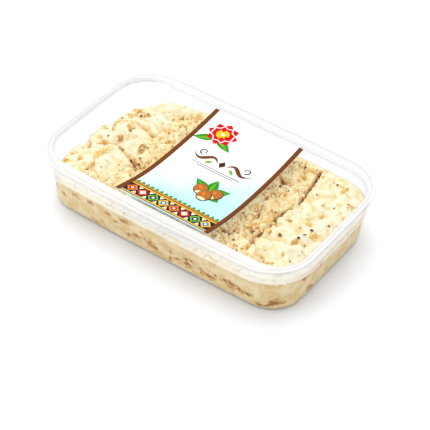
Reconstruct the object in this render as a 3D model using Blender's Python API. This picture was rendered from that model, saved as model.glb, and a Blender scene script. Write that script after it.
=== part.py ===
"""Hazelnut halva block in a clear tub with a press-fit lid.

The tub's base centre is the origin, +X runs along the tub's length, +Y across it and +Z up.
Every size is in metres. Four solids make the pack: the tub, the lid pressed over its rim,
the printed label on the lid's panel and the halva block that fills the tub.
"""

import math

import bmesh
import bpy
from mathutils import Vector, noise

# Outline of the lid, the widest piece
LID_LENGTH = 0.1650
LID_WIDTH = 0.1040
LID_CORNER = 0.0250
LID_TOP = 0.0335
SIDE_BOW = 0.0013          # how far the long sides bulge at their middle; half of it at the ends

# Lid section
LID_WALL = 0.0007
SKIRT_WALL = 0.0008
SKIRT_BOTTOM = 0.0266
SKIRT_STEP_TOP = 0.0293    # the skirt is stepped in above this height
SKIRT_STEP_BOTTOM = 0.0289
SKIRT_STEP_DEPTH = 0.0006
TOP_EDGE = 0.0012          # rounding of the lid's top outer edge
GRIP_BEAD = 0.0006         # bead inside the skirt that grips under the tub's flange
RIM_WIDTH_ENDS = 0.0046    # flat raised rim round the panel
RIM_WIDTH_SIDES = 0.0080
PANEL_CORNER = 0.0165
PANEL_RECESS = 0.0013
PANEL_DRAFT = 0.0006
PANEL_SAG = 0.0012
PANEL_RINGS = 6
PANEL_CENTRE_SHARE = 0.1   # size of the panel's innermost ring

# Tub
BASE_LENGTH = 0.1522
BASE_WIDTH = 0.0862
BASE_CORNER = 0.0172
BASE_EDGE = 0.0022         # rounding under the base
COLLAR_LENGTH = 0.1598     # the tapered wall ends in an upright collar under the lid
COLLAR_WIDTH = 0.0988
COLLAR_CORNER = 0.0245
COLLAR_BOTTOM = 0.0262
FLANGE_OVERHANG = 0.00085
FLANGE_DEPTH = 0.0014
TUB_WALL = 0.0008
TUB_FLOOR = 0.0010

# Gap kept between pieces that touch
CONTACT_GAP = 0.0003

# Grip ribs under the skirt at the near corner
RIB_SIZE = (0.0010, 0.0013, 0.0036)
RIB_ANGLES = (-50.0, -40.5)

# Label
LABEL_LEFT = -0.0246
LABEL_RIGHT = 0.0325
LABEL_DEPTH = 0.0856
LABEL_THICKNESS = 0.0003
LABEL_FLARE = 0.0030       # the left edge spreads towards the front
LABEL_FLARE_START = 0.3    # share of the half depth where the spread begins
LABEL_CURVES = (0.0010, 0.0013)   # how far each side edge bows in at its ends
LABEL_STEPS = (10, 14)

# Halva
HALVA_EDGE_HEIGHT = 0.0212
HALVA_CROWN = 0.0022       # rise from the walls to the middle
HALVA_SHOULDER = 0.0070    # how far in from the wall the top edge rounds off
LUMP_HEIGHT = 0.0011
LUMP_SIZE = 0.0140
GRAIN_HEIGHT = 0.0005
GRAIN_SIZE = 0.0048
HALVA_RINGS = 20
HALVA_CENTRE_SHARE = 0.03  # size of the top's innermost ring
HALVA_SIDE_STEPS = 4
CORNER_SLUMP = 0.0095      # the back left corner stands clear of the tub
SLUMP_REACH = 0.0280
SLUMP_DIRECTION = (0.8, -0.6)
END_SLUMP = 0.0042         # the whole left end stands clear of the tub too, and lower
END_DROP = 0.0024
END_START = 0.0560         # how far left of the middle the end begins to slope
CRACK_WIDTH = 0.0021

# Cracks in the halva's top: (depth, points along the crack)
CRACKS = (
    (0.0034, ((0.0420, 0.0440), (0.0455, 0.0265), (0.0485, 0.0130), (0.0465, -0.0050), (0.0455, -0.0180),
              (0.0430, -0.0340))),
    (0.0022, ((0.0230, 0.0250), (0.0310, 0.0215), (0.0390, 0.0200))),
    (0.0024, ((-0.0640, -0.0100), (-0.0540, -0.0075), (-0.0450, -0.0080), (-0.0360, -0.0095))),
    (0.0018, ((-0.0660, 0.0140), (-0.0570, 0.0152), (-0.0480, 0.0170))),
)

# Points round an outline and along a rounded edge
CORNER_STEPS = 8
LONG_STEPS = 8
SHORT_STEPS = 6
EDGE_STEPS = 3
BASE_EDGE_STEPS = 4

SMOOTH_ANGLE = 35          # degrees; sharper edges than this stay crisp

# Finishes: colour, roughness and how solid the piece looks
TUB_FINISH = ((0.86, 0.87, 0.85), 0.18, 0.35)
LID_FINISH = ((0.90, 0.91, 0.90), 0.22, 0.35)
LABEL_FINISH = ((0.82, 0.90, 0.93), 0.35, 1.0)
HALVA_FINISH = ((0.80, 0.68, 0.47), 0.85, 1.0)


def make_material(name, finish):
    """A Principled material for one piece."""
    colour, roughness, alpha = finish
    material = bpy.data.materials.new(name)
    material.use_nodes = True
    shader = material.node_tree.nodes["Principled BSDF"]
    shader.inputs["Base Color"].default_value = (*colour, 1.0)
    shader.inputs["Roughness"].default_value = roughness
    shader.inputs["Metallic"].default_value = 0.0
    shader.inputs["Alpha"].default_value = alpha
    return material


def outline(length, width, corner, height):
    """One level ring of points: a rectangle with round corners and slightly bowed sides."""
    half_x = length / 2
    half_y = width / 2
    flat_x = half_x - corner
    flat_y = half_y - corner
    sides = (
        ((half_x, -flat_y), (half_x, flat_y), SHORT_STEPS, (flat_x, flat_y), 0),
        ((flat_x, half_y), (-flat_x, half_y), LONG_STEPS, (-flat_x, flat_y), 90),
        ((-half_x, flat_y), (-half_x, -flat_y), SHORT_STEPS, (-flat_x, -flat_y), 180),
        ((-flat_x, -half_y), (flat_x, -half_y), LONG_STEPS, (flat_x, -flat_y), 270),
    )
    ring = []
    for start, end, steps, centre, first_angle in sides:
        for step in range(steps):
            ring.append(Vector((*start, height)).lerp(Vector((*end, height)), step / steps))
        for step in range(CORNER_STEPS):
            angle = math.radians(first_angle + 90 * step / CORNER_STEPS)
            x = centre[0] + corner * math.cos(angle)
            y = centre[1] + corner * math.sin(angle)
            ring.append(Vector((x, y, height)))
    for point in ring:
        along = point.x / half_x
        across = point.y / half_y
        point.x += SIDE_BOW / 2 * along * (1 - across * across)
        point.y += SIDE_BOW * across * (1 - along * along)
    return ring


def loft(name, rings, material):
    """A closed solid through rings of equal point counts, flat at its first and last ring."""
    mesh = bpy.data.meshes.new(name)
    shape = bmesh.new()
    levels = [[shape.verts.new(point) for point in ring] for ring in rings]
    count = len(levels[0])
    for lower, upper in zip(levels, levels[1:]):
        for index in range(count):
            following = (index + 1) % count
            shape.faces.new((lower[index], lower[following], upper[following], upper[index]))
    shape.faces.new(list(reversed(levels[0])))
    shape.faces.new(levels[-1])
    bmesh.ops.recalc_face_normals(shape, faces=shape.faces[:])
    shape.to_mesh(mesh)
    shape.free()
    mesh.shade_smooth()
    mesh.set_sharp_from_angle(angle=math.radians(SMOOTH_ANGLE))
    mesh.materials.append(material)
    piece = bpy.data.objects.new(name, mesh)
    bpy.context.collection.objects.link(piece)
    return piece


def wall_ring(height, inset=0.0):
    """The tub wall's ring at a height, set in from the outer face."""
    share = min(height / COLLAR_BOTTOM, 1.0)
    length = BASE_LENGTH + share * (COLLAR_LENGTH - BASE_LENGTH)
    width = BASE_WIDTH + share * (COLLAR_WIDTH - BASE_WIDTH)
    corner = BASE_CORNER + share * (COLLAR_CORNER - BASE_CORNER)
    return outline(length - 2 * inset, width - 2 * inset, corner - inset, height)


def build_tub():
    """Open tub: rounded base edge, tapered wall, upright collar and a flange for the lid."""
    rim = LID_TOP - LID_WALL - CONTACT_GAP
    rings = []
    for step in range(BASE_EDGE_STEPS + 1):
        angle = math.radians(90 * step / BASE_EDGE_STEPS)
        rings.append(wall_ring(BASE_EDGE * (1 - math.cos(angle)), BASE_EDGE * (1 - math.sin(angle))))
    rings.append(wall_ring(COLLAR_BOTTOM))
    rings.append(wall_ring(rim - FLANGE_DEPTH))
    rings.append(wall_ring(rim - FLANGE_DEPTH, -FLANGE_OVERHANG))
    rings.append(wall_ring(rim - FLANGE_OVERHANG / 2, -FLANGE_OVERHANG))
    rings.append(wall_ring(rim, -FLANGE_OVERHANG / 2))
    rings.append(wall_ring(rim, TUB_WALL))
    rings.append(wall_ring(COLLAR_BOTTOM, TUB_WALL))
    inner_edge = BASE_EDGE - TUB_FLOOR / 2
    for step in range(EDGE_STEPS + 1):
        angle = math.radians(90 * step / EDGE_STEPS)
        height = TUB_FLOOR + inner_edge * (1 - math.sin(angle))
        rings.append(wall_ring(height, TUB_WALL + inner_edge * (1 - math.cos(angle))))
    return loft("tub", rings, make_material("clear_tub", TUB_FINISH))


def panel_height(x, y):
    """Height of the lid panel's upper face, which sags a little to its middle."""
    along = min(abs(x) / (LID_LENGTH / 2 - RIM_WIDTH_ENDS), 1.0)
    across = min(abs(y) / (LID_WIDTH / 2 - RIM_WIDTH_SIDES), 1.0)
    return LID_TOP - PANEL_RECESS - PANEL_SAG * (1 - along * along) * (1 - across * across)


def panel_ring(share, drop):
    """A ring of the panel, as a share of its full size, a drop below its upper face."""
    length = LID_LENGTH - 2 * (RIM_WIDTH_ENDS + PANEL_DRAFT)
    width = LID_WIDTH - 2 * (RIM_WIDTH_SIDES + PANEL_DRAFT)
    corner = PANEL_CORNER - PANEL_DRAFT
    ring = outline(length, width, corner, 0.0)
    for point in ring:
        point.x *= share
        point.y *= share
        point.z = panel_height(point.x, point.y) - drop
    return ring


def skirt_ring(height, inset):
    """A ring of the lid's skirt at a height, set in from its outermost face."""
    return outline(LID_LENGTH - 2 * inset, LID_WIDTH - 2 * inset, LID_CORNER - inset, height)


def rim_ring(height, inset):
    """A ring at the rim's inner edge, where it drops to the panel."""
    length = LID_LENGTH - 2 * (RIM_WIDTH_ENDS + inset)
    width = LID_WIDTH - 2 * (RIM_WIDTH_SIDES + inset)
    return outline(length, width, PANEL_CORNER - inset, height)


def build_lid():
    """Press-fit lid: stepped skirt, flat raised rim and a panel set slightly down inside it."""
    shrink = (1 - PANEL_CENTRE_SHARE) / PANEL_RINGS
    shares = [1 - shrink * step for step in range(1, PANEL_RINGS + 1)]
    step_in = SKIRT_STEP_DEPTH
    rings = [panel_ring(share, 0.0) for share in reversed(shares)]
    rings.append(panel_ring(1.0, 0.0))
    rings.append(rim_ring(LID_TOP - PANEL_DRAFT / 2, PANEL_DRAFT / 4))
    rings.append(rim_ring(LID_TOP, -PANEL_DRAFT / 2))
    for step in range(EDGE_STEPS + 1):
        angle = math.radians(90 * step / EDGE_STEPS)
        inset = step_in + TOP_EDGE * (1 - math.sin(angle))
        rings.append(skirt_ring(LID_TOP - TOP_EDGE * (1 - math.cos(angle)), inset))
    rings.append(skirt_ring(SKIRT_STEP_TOP, step_in))
    rings.append(skirt_ring(SKIRT_STEP_BOTTOM, 0.0))
    rings.append(skirt_ring(SKIRT_BOTTOM, 0.0))
    rings.append(skirt_ring(SKIRT_BOTTOM, SKIRT_WALL))
    rings.append(skirt_ring(SKIRT_BOTTOM + GRIP_BEAD, SKIRT_WALL + GRIP_BEAD))
    rings.append(skirt_ring(SKIRT_BOTTOM + 3 * GRIP_BEAD, SKIRT_WALL + step_in / 2))
    rings.append(skirt_ring(SKIRT_STEP_TOP, SKIRT_WALL + step_in))
    rings.append(skirt_ring(LID_TOP - LID_WALL, SKIRT_WALL + step_in))
    rings.append(rim_ring(LID_TOP - LID_WALL, PANEL_DRAFT))
    rings.append(rim_ring(LID_TOP - PANEL_RECESS - LID_WALL, 2 * PANEL_DRAFT))
    rings.extend(panel_ring(share, LID_WALL) for share in shares)
    return loft("lid", rings, make_material("clear_lid", LID_FINISH))


def add_ribs(lid):
    """Grip ribs: short upright bars joined to the skirt's foot at the near right corner."""
    centre = Vector((LID_LENGTH / 2 - LID_CORNER, LID_CORNER - LID_WIDTH / 2, 0.0))
    for number, degrees in enumerate(RIB_ANGLES, start=1):
        angle = math.radians(degrees)
        mesh = bpy.data.meshes.new(f"rib_tool_{number}")
        shape = bmesh.new()
        bmesh.ops.create_cube(shape, size=1.0)
        bmesh.ops.scale(shape, vec=RIB_SIZE, verts=shape.verts)
        shape.to_mesh(mesh)
        shape.free()
        tool = bpy.data.objects.new(f"rib_tool_{number}", mesh)
        outward = Vector((math.cos(angle), math.sin(angle), 0.0))
        tool.location = centre + outward * LID_CORNER
        tool.location.z = SKIRT_BOTTOM + RIB_SIZE[2] / 6
        tool.rotation_euler.z = angle
        tool.hide_render = True
        tool.display_type = "WIRE"
        bpy.context.collection.objects.link(tool)
        union = lid.modifiers.new(f"rib_{number}", "BOOLEAN")
        union.operation = "UNION"
        union.solver = "EXACT"
        union.object = tool


def label_edges(y):
    """The label's left and right edges at a place across the lid."""
    share = y / (LABEL_DEPTH / 2)
    spread = max(0.0, -share - LABEL_FLARE_START) / (1 - LABEL_FLARE_START)
    flare = LABEL_FLARE * spread * spread
    left = LABEL_LEFT - flare - LABEL_CURVES[0] * share * share
    right = LABEL_RIGHT - flare / 2 - LABEL_CURVES[1] * share * share
    return left, right


def build_label():
    """Thin printed label that lies along the sagging panel, from side to side of the lid."""
    columns, rows = LABEL_STEPS
    mesh = bpy.data.meshes.new("label")
    shape = bmesh.new()
    grids = []
    for lift in (CONTACT_GAP, CONTACT_GAP + LABEL_THICKNESS):
        grid = []
        for row in range(rows + 1):
            y = LABEL_DEPTH * (row / rows - 0.5)
            left, right = label_edges(y)
            line = []
            for column in range(columns + 1):
                x = left + (right - left) * column / columns
                line.append(shape.verts.new((x, y, panel_height(x, y) + lift)))
            grid.append(line)
        grids.append(grid)
    under, over = grids
    for row in range(rows):
        for column in range(columns):
            for grid in grids:
                shape.faces.new((grid[row][column], grid[row][column + 1],
                                 grid[row + 1][column + 1], grid[row + 1][column]))
    border = [(0, column) for column in range(columns)]
    border += [(row, columns) for row in range(rows)]
    border += [(rows, column) for column in range(columns, 0, -1)]
    border += [(row, 0) for row in range(rows, 0, -1)]
    for (row, column), (next_row, next_column) in zip(border, border[1:] + border[:1]):
        shape.faces.new((under[row][column], under[next_row][next_column],
                         over[next_row][next_column], over[row][column]))
    bmesh.ops.recalc_face_normals(shape, faces=shape.faces[:])
    shape.to_mesh(mesh)
    shape.free()
    mesh.materials.append(make_material("printed_label", LABEL_FINISH))
    label = bpy.data.objects.new("label", mesh)
    bpy.context.collection.objects.link(label)
    return label


def distance_to_path(x, y, points):
    """Shortest level distance from a place to a path of straight stretches."""
    place = Vector((x, y))
    nearest = math.inf
    for start, end in zip(points, points[1:]):
        first = Vector(start)
        run = Vector(end) - first
        share = min(max((place - first).dot(run) / run.length_squared, 0.0), 1.0)
        nearest = min(nearest, (place - first - run * share).length)
    return nearest


def end_share(x):
    """How far a place lies into the sloping left end, from 0 to 1."""
    share = (-x - END_START) / (COLLAR_LENGTH / 2 - END_START)
    share = min(max(share, 0.0), 1.0)
    return share * share * (3 - 2 * share)


def halva_height(x, y, inward):
    """Height of the halva's rough top at a place a given way in from its side."""
    rounding = min(inward / HALVA_SHOULDER, 1.0)
    height = HALVA_EDGE_HEIGHT + HALVA_CROWN * math.sin(rounding * math.pi / 2)
    height -= END_DROP * end_share(x)
    height += rounding * LUMP_HEIGHT * noise.noise(Vector((x, y, 0.0)) / LUMP_SIZE)
    height += rounding * GRAIN_HEIGHT * noise.noise(Vector((x, y, 1.0)) / GRAIN_SIZE)
    for depth, points in CRACKS:
        away = distance_to_path(x, y, points) / CRACK_WIDTH
        height -= depth * math.exp(-away * away)
    return height


def slump(point):
    """Pulls the left end and its back corner in from the tub, more the higher a place is."""
    corner = Vector((-COLLAR_LENGTH / 2, COLLAR_WIDTH / 2))
    away = (Vector((point.x, point.y)) - corner).length / SLUMP_REACH
    rise = (point.z / HALVA_EDGE_HEIGHT) ** 2
    pull = CORNER_SLUMP * math.exp(-away * away) * rise
    end = end_share(point.x) * rise
    point.x += pull * SLUMP_DIRECTION[0] + END_SLUMP * end
    point.y += pull * SLUMP_DIRECTION[1]
    point.z -= END_DROP * end


def build_halva():
    """Halva block: it takes the tub's shape below and has a lumpy, cracked top."""
    inset = TUB_WALL + CONTACT_GAP
    floor = TUB_FLOOR + CONTACT_GAP
    rings = []
    for step in range(EDGE_STEPS + 1):
        angle = math.radians(90 * step / EDGE_STEPS)
        height = floor + BASE_EDGE * (1 - math.cos(angle))
        rings.append(wall_ring(height, inset + BASE_EDGE * (1 - math.sin(angle))))
    foot = floor + BASE_EDGE
    for step in range(1, HALVA_SIDE_STEPS + 1):
        height = foot + (HALVA_EDGE_HEIGHT - foot) * step / HALVA_SIDE_STEPS
        rings.append(wall_ring(height, inset))
    for ring in rings:
        for point in ring:
            slump(point)
    edge = rings[-1]
    reach = COLLAR_WIDTH / 2
    for step in range(1, HALVA_RINGS + 1):
        share = 1 - (1 - HALVA_CENTRE_SHARE) * step / HALVA_RINGS
        ring = []
        for point in edge:
            x = point.x * share
            y = point.y * share
            ring.append(Vector((x, y, halva_height(x, y, reach * (1 - share)))))
        rings.append(ring)
    return loft("halva_block", rings, make_material("hazelnut_halva", HALVA_FINISH))


def main():
    for item in list(bpy.data.objects):
        bpy.data.objects.remove(item, do_unlink=True)
    build_tub()
    add_ribs(build_lid())
    build_label()
    build_halva()


main()
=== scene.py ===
"""Hazelnut halva in a clear tub with a press-fit lid and a printed label.

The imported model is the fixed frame. The tub and the lid are dressed as finely moulded clear
polypropylene, the halva as a crumbly paste with chopped nuts, and the label as printed film.
Sizes are in metres: +X runs along the tub, +Y across it to the back, +Z up.
"""

import logging
import math
import random
from dataclasses import dataclass, field
from enum import Enum
from typing import Any, Callable, Iterable, Sequence

import bmesh
import bpy
from mathutils import Euler, Matrix, Vector, noise
from mathutils.bvhtree import BVHTree


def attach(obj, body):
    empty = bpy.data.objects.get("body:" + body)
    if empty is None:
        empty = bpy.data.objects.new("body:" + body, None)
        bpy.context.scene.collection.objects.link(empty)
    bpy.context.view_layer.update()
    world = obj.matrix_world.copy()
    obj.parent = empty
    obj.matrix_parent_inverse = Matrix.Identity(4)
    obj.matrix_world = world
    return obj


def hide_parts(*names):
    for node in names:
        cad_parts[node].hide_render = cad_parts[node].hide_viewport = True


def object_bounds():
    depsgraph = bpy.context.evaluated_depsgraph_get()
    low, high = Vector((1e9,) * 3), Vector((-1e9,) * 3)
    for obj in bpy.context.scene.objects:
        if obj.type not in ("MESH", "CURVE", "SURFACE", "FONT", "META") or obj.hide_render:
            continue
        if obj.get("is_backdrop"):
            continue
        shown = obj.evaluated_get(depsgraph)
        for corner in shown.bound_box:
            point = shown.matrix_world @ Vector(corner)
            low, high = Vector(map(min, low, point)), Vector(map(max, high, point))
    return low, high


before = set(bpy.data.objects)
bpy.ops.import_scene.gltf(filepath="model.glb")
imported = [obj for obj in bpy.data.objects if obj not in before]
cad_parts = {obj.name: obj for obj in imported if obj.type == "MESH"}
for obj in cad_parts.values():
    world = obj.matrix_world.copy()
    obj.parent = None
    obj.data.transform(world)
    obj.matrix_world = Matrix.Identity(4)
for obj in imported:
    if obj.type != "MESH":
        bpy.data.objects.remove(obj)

log = logging.getLogger("halva_tub")

MM = 0.001
# Vector noise would start from the clock, and change the halva each run, without this seed
NOISE_SEED = 1795415314

Points = tuple[tuple[float, float], ...]


class Node(Enum):
    """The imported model's nodes, each with the material slot it takes its finish from."""

    TUB = ("tub", "clear_tub")
    LID = ("lid", "clear_lid")
    LABEL = ("label", "printed_label")
    HALVA = ("halva_block", "hazelnut_halva")

    @property
    def node(self) -> str:
        """The node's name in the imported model."""
        return self.value[0]

    @property
    def slot(self) -> str:
        """The record's material slot for the node."""
        return self.value[1]


class Ink(Enum):
    """Printing inks on the label, as sRGB hex values."""

    BROWN = "#6A380C"
    DARK_BROWN = "#43240E"
    RED = "#C4060E"
    GREEN = "#2C8A1E"
    LEAF = "#68A828"
    NAVY = "#141A40"
    BLUE = "#2272AC"
    YELLOW = "#E0B41C"
    ORANGE = "#CE7818"
    NUT = "#A8642C"
    CREAM = "#F0DAA8"
    WHITE = "#FFFFFF"


# ---------------------------------------------------------------------------------------------
# Shared helpers


def linear(hex_colour: str) -> tuple[float, float, float, float]:
    """Turns an sRGB hex colour to linear RGBA, with full alpha."""
    values = [int(hex_colour[at : at + 2], 16) / 255 for at in (1, 3, 5)]
    turned = [v / 12.92 if v <= 0.04045 else ((v + 0.055) / 1.055) ** 2.4 for v in values]
    return (*turned, 1.0)


class NodeDraft:
    """A node tree in the making, where each step adds a node."""

    def __init__(self, tree: Any) -> None:
        """Takes the tree to fill."""
        self.tree = tree

    def plug(self, node: Any, inputs: dict) -> None:
        """Fills a node's sockets, each with a value or with an output to link."""
        for key, value in inputs.items():
            if isinstance(value, bpy.types.NodeSocket):
                self.tree.links.new(value, node.inputs[key])
            else:
                node.inputs[key].default_value = value

    def add(self, kind: str, inputs: dict | None = None, **settings: Any) -> Any:
        """Adds a node.

        Args:
            kind: The node's type in Blender.
            inputs: Socket names or numbers, each with a value or with an output to link.
            **settings: Values for the node's own properties.

        Returns:
            The new node.
        """
        node = self.tree.nodes.new(kind)
        for name, value in settings.items():
            setattr(node, name, value)
        self.plug(node, inputs or {})
        return node

    def maths(self, operation: str, *values: Any, clamp: bool = False) -> Any:
        """The result of an operation on one to three values."""
        return self.add("ShaderNodeMath", dict(enumerate(values)), operation=operation,
                        use_clamp=clamp).outputs[0]

    def span(self, value: Any, start: Sequence[Any] = (0.0, 1.0),
             end: Sequence[Any] = (0.0, 1.0), smooth: bool = False) -> Any:
        """Turns a value's range to another one, evenly or with soft ends."""
        return self.add("ShaderNodeMapRange",
                        {"Value": value, "From Min": start[0], "From Max": start[1],
                         "To Min": end[0], "To Max": end[1]},
                        interpolation_type="SMOOTHSTEP" if smooth else "LINEAR").outputs[0]


class MaterialDraft(NodeDraft):
    """A material in the making, with a Principled shader at its output."""

    def __init__(self, name: str) -> None:
        """Starts the material, placed by Object coordinates."""
        self.material = bpy.data.materials.new(name)
        self.material.use_nodes = True
        super().__init__(self.material.node_tree)
        self.tree.nodes.clear()
        self.shader = self.add("ShaderNodeBsdfPrincipled")
        self.output = self.add("ShaderNodeOutputMaterial", {"Surface": self.shader.outputs[0]})
        self.place = self.add("ShaderNodeTexCoord").outputs["Object"]

    def attributes(self, *names: str) -> list[Any]:
        """Numbers painted on the mesh."""
        return [self.add("ShaderNodeAttribute", attribute_name=name).outputs["Fac"]
                for name in names]

    def noise(self, size_mm: float, detail: float, roughness: float = 0.5) -> Any:
        """Soft noise of a size in millimetres."""
        return self.add("ShaderNodeTexNoise",
                        {"Vector": self.place, "Scale": 1 / (size_mm * MM), "Detail": detail,
                         "Roughness": roughness}).outputs["Fac"]

    def mix(self, share: Any, first: Any, second: Any) -> Any:
        """Mixes two colours by a share; each is a hex value, linear values or an output."""
        ends = [linear(end) if isinstance(end, str) else end for end in (first, second)]
        return self.add("ShaderNodeMix", {"Factor": share, "A": ends[0], "B": ends[1]},
                        data_type="RGBA").outputs["Result"]

    def bump(self, strength: float, distance: float, height: Any) -> None:
        """Raises the surface by a height."""
        bump = self.add("ShaderNodeBump",
                        {"Strength": strength, "Distance": distance, "Height": height})
        self.plug(self.shader, {"Normal": bump.outputs[0]})

    def pass_light(self, share: float) -> None:
        """Lets a share of the light through a thin wall or film, as pale plastic does."""
        through = self.add("ShaderNodeBsdfTransparent", {"Color": (share, share, share, 1.0)})
        rays = self.add("ShaderNodeLightPath").outputs
        mixed = self.shader
        for ray in ("Is Diffuse Ray", "Is Shadow Ray"):
            mixed = self.add("ShaderNodeMixShader",
                             {0: rays[ray], 1: mixed.outputs[0], 2: through.outputs[0]})
        self.plug(self.output, {"Surface": mixed.outputs[0]})

    def finish(self, colour: Any, roughness: Any, specular: float = 0.5) -> Any:
        """Fills the shader's main sockets, and gives the material."""
        self.plug(self.shader, {"Base Color": colour, "Roughness": roughness,
                                "Specular IOR Level": specular})
        return self.material


def finish_mesh(shape: Any, name: str, smooth: bool = False) -> Any:
    """Turns a closed sketch to a mesh with its faces outwards, and frees the sketch."""
    bmesh.ops.recalc_face_normals(shape, faces=shape.faces[:])
    mesh = bpy.data.meshes.new(name)
    shape.to_mesh(mesh)
    shape.free()
    if smooth:
        mesh.shade_smooth()
    return mesh


def bridge(shape: Any, lower: Sequence[Any], upper: Sequence[Any]) -> None:
    """Joins two level rings of vertices with a band of faces."""
    for index in range(len(lower)):
        after = (index + 1) % len(lower)
        shape.faces.new((lower[index], lower[after], upper[after], upper[index]))


def everything(shape: Any) -> list[Any]:
    """All vertices, edges and faces of a sketch."""
    return shape.verts[:] + shape.edges[:] + shape.faces[:]


def link_object(name: str, data: Any) -> Any:
    """Makes an object at the origin and links it to the scene."""
    made = bpy.data.objects.new(name, data)
    bpy.context.scene.collection.objects.link(made)
    return made


def new_piece(name: str, mesh: Any, materials: Sequence[Any]) -> Any:
    """Links a finished mesh to the scene, with one material for each slot."""
    mesh.name = name
    for material in materials:
        mesh.materials.append(material)
    return link_object(name, mesh)


def hand_over(piece: Any, slot: str, *nodes: str) -> Any:
    """Lets a piece ride on the one body, and hides the nodes it stands for."""
    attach(piece, "root")
    if nodes:
        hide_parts(*nodes)
    log.info("%s: %d faces", piece.name, len(piece.data.polygons))
    return piece


# ---------------------------------------------------------------------------------------------
# Outlines of the moulded shells


@dataclass(frozen=True)
class RoundedOutline:
    """A rectangle with round corners and slightly bowed sides, seen from above."""

    length: float
    width: float
    corner: float
    bow: float = 1.3 * MM

    def inset(self, amount: float) -> "RoundedOutline":
        """The same outline moved in by an amount, or out by a negative one."""
        return RoundedOutline(self.length - 2 * amount, self.width - 2 * amount,
                              self.corner - amount, self.bow)

    def towards(self, other: "RoundedOutline", share: float) -> "RoundedOutline":
        """The outline a share of the way to another one."""
        return RoundedOutline(self.length + share * (other.length - self.length),
                              self.width + share * (other.width - self.width),
                              self.corner + share * (other.corner - self.corner), self.bow)

    def point(self, side: int, across: float) -> Vector:
        """A point on one side, which runs from the middle of a corner to the next.

        Args:
            side: 0 is +X, 1 is +Y, 2 is -X and 3 is -Y.
            across: Place along the side by length, from -1 to 1, anticlockwise.

        Returns:
            The point, level at zero height.
        """
        half_x, half_y = self.length / 2, self.width / 2
        reach, span = (half_x, half_y) if side % 2 == 0 else (half_y, half_x)
        straight = span - self.corner
        arc = self.corner * math.pi / 4
        along = across * (straight + arc)
        if abs(along) > straight:
            angle = (abs(along) - straight) / self.corner
            reach -= self.corner * (1 - math.cos(angle))
            along = math.copysign(straight + self.corner * math.sin(angle), along)
        turn = (Vector((1, 0)), Vector((0, 1)), Vector((-1, 0)), Vector((0, -1)))
        flat = turn[side] * reach + turn[(side + 1) % 4] * along
        u, v = flat.x / half_x, flat.y / half_y
        return Vector((flat.x + self.bow / 2 * u * (1 - v * v),
                       flat.y + self.bow * v * (1 - u * u), 0.0))

    def ring(self, height: float, steps: tuple[int, int]) -> list[Vector]:
        """Points all round the outline, anticlockwise from the front right corner.

        Args:
            height: Height of the ring.
            steps: Points on each end and on each long side.

        Returns:
            The points.
        """
        return [self.point(side, 2 * step / steps[side % 2] - 1) + Vector((0.0, 0.0, height))
                for side in range(4) for step in range(steps[side % 2])]


class Haze(Enum):
    """How moulded plastic looks at a place: how milky it is, and how much grey is painted in as
    shade for the dark lines of refraction.
    """

    CLEAR = (0.006, 0.0)
    WALL = (0.04, 0.5)
    COLLAR = (0.07, 0.8)
    FOOT = (0.10, 0.8)
    RIM = (0.58, 0.26)
    BAND = (0.28, 0.02)
    CREASE = (0.62, 0.50)
    SKIRT = (0.15, 0.02)
    BEND = (0.25, 0.38)


@dataclass
class Shell:
    """A moulded shell, made from rings that each hold how the plastic looks there."""

    name: str
    steps: tuple[int, int] = (72, 104)
    rings: list[tuple[list[Vector], Haze]] = field(default_factory=list)

    def add(self, outline: RoundedOutline, height: float, haze: Haze) -> None:
        """Adds the next level ring of the section."""
        self.rings.append((outline.ring(height, self.steps), haze))

    def mesh(self) -> Any:
        """Joins the rings to one closed surface.

        Returns:
            The mesh, smooth, with "milk" and "grey" on each vertex.
        """
        shape = bmesh.new()
        layers = [shape.verts.layers.float.new(name) for name in ("milk", "grey")]
        levels = []
        for ring, haze in self.rings:
            level = [shape.verts.new(point) for point in ring]
            for vertex in level:
                for layer, value in zip(layers, haze.value):
                    vertex[layer] = value
            levels.append(level)
        for lower, upper in zip(levels, levels[1:]):
            bridge(shape, lower, upper)
        shape.faces.new(levels[0][::-1])
        shape.faces.new(levels[-1])
        return finish_mesh(shape, self.name, smooth=True)


# ---------------------------------------------------------------------------------------------
# Finishes


@dataclass(frozen=True)
class ClearPolypropylene:
    """Injection-moulded clear polypropylene: see-through in thin walls, milky in thick rims, with
    painted grey shade at bends and edges.
    """

    name: str
    haze: str = "#FFFFFF"
    # Painted shade: the grey that bends and edges take on, for the dark lines that refraction draws
    # there
    bend: str = "#7C767C"
    edge_on: float = 0.22
    edge_power: float = 4.0
    polished: float = 0.12
    ior: float = 1.49
    light: float = 0.97
    ripple_mm: float = 22.0
    ripple_strength: float = 0.12
    ripple_height: float = 2.0 * MM

    def material(self) -> Any:
        """Builds the finish. The wall lets what it holds show through, and is denser edge on.

        Returns:
            The material. It reads the mesh's "milk" and "grey" attributes.
        """
        draft = MaterialDraft(self.name)
        milk, grey = draft.attributes("milk", "grey")
        facing = draft.add("ShaderNodeLayerWeight", {"Blend": 0.5}).outputs["Facing"]
        steep = draft.maths("POWER", facing, self.edge_power)
        dense = draft.maths("MULTIPLY_ADD", steep, self.edge_on, milk, clamp=True)
        # Ripple: the faint waviness that moulding leaves in a wall
        draft.bump(self.ripple_strength, self.ripple_height, draft.noise(self.ripple_mm, 2.0))
        draft.plug(draft.shader, {"Alpha": dense, "IOR": self.ior})
        draft.pass_light(self.light)
        # Painted shade: grey is mixed in at bends and edges in place of the plastic's refraction
        # lines
        return draft.finish(draft.mix(grey, self.haze, self.bend), self.polished)


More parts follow.
